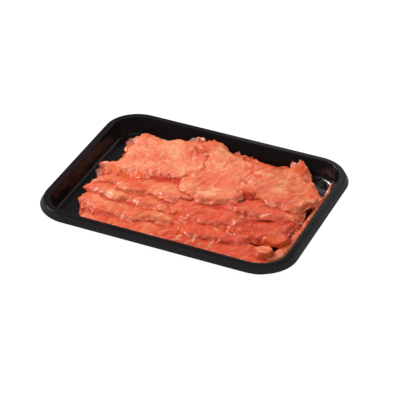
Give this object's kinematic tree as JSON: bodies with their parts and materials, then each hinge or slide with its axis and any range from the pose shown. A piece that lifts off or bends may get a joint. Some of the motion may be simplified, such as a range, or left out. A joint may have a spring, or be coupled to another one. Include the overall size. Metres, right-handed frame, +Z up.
{
  "type": "smoked salmon tray",
  "caption": "Thin sliced smoked salmon laid in overlapping rows in a low open black plastic tray with a rounded, turned-down rim",
  "frame": {"origin": "on the resting plane, under the middle of the tray", "axes": "+X along the tray's length, +Y to its back, +Z up"},
  "size_m": [0.227, 0.178, 0.016],
  "materials": {
    "tray_plastic": "glossy black thermoformed plastic",
    "salmon": "moist orange-pink fish flesh with pale fat lines, translucent at thin edges"
  },
  "bodies": {
    "root": {"tray": "tray_plastic", "slice_under_front_left": "salmon", "slice_under_front_right": "salmon", "slice_under_left": "salmon", "slice_under_right": "salmon", "slice_under_back_left": "salmon", "slice_under_back_right": "salmon", "slice_front_left": "salmon", "slice_front_right": "salmon", "slice_right_edge": "salmon", "slice_row_two_left": "salmon", "slice_row_two_middle": "salmon", "slice_row_two_right": "salmon", "slice_row_three_left": "salmon", "slice_row_three_right": "salmon", "slice_row_three_middle": "salmon", "slice_right_end": "salmon", "slice_row_four_left": "salmon", "slice_back_left_tip": "salmon", "slice_back_middle": "salmon", "slice_top_left": "salmon", "slice_row_five_right": "salmon", "slice_top_middle": "salmon", "slice_top_right": "salmon"}
  },
  "joints": []
}
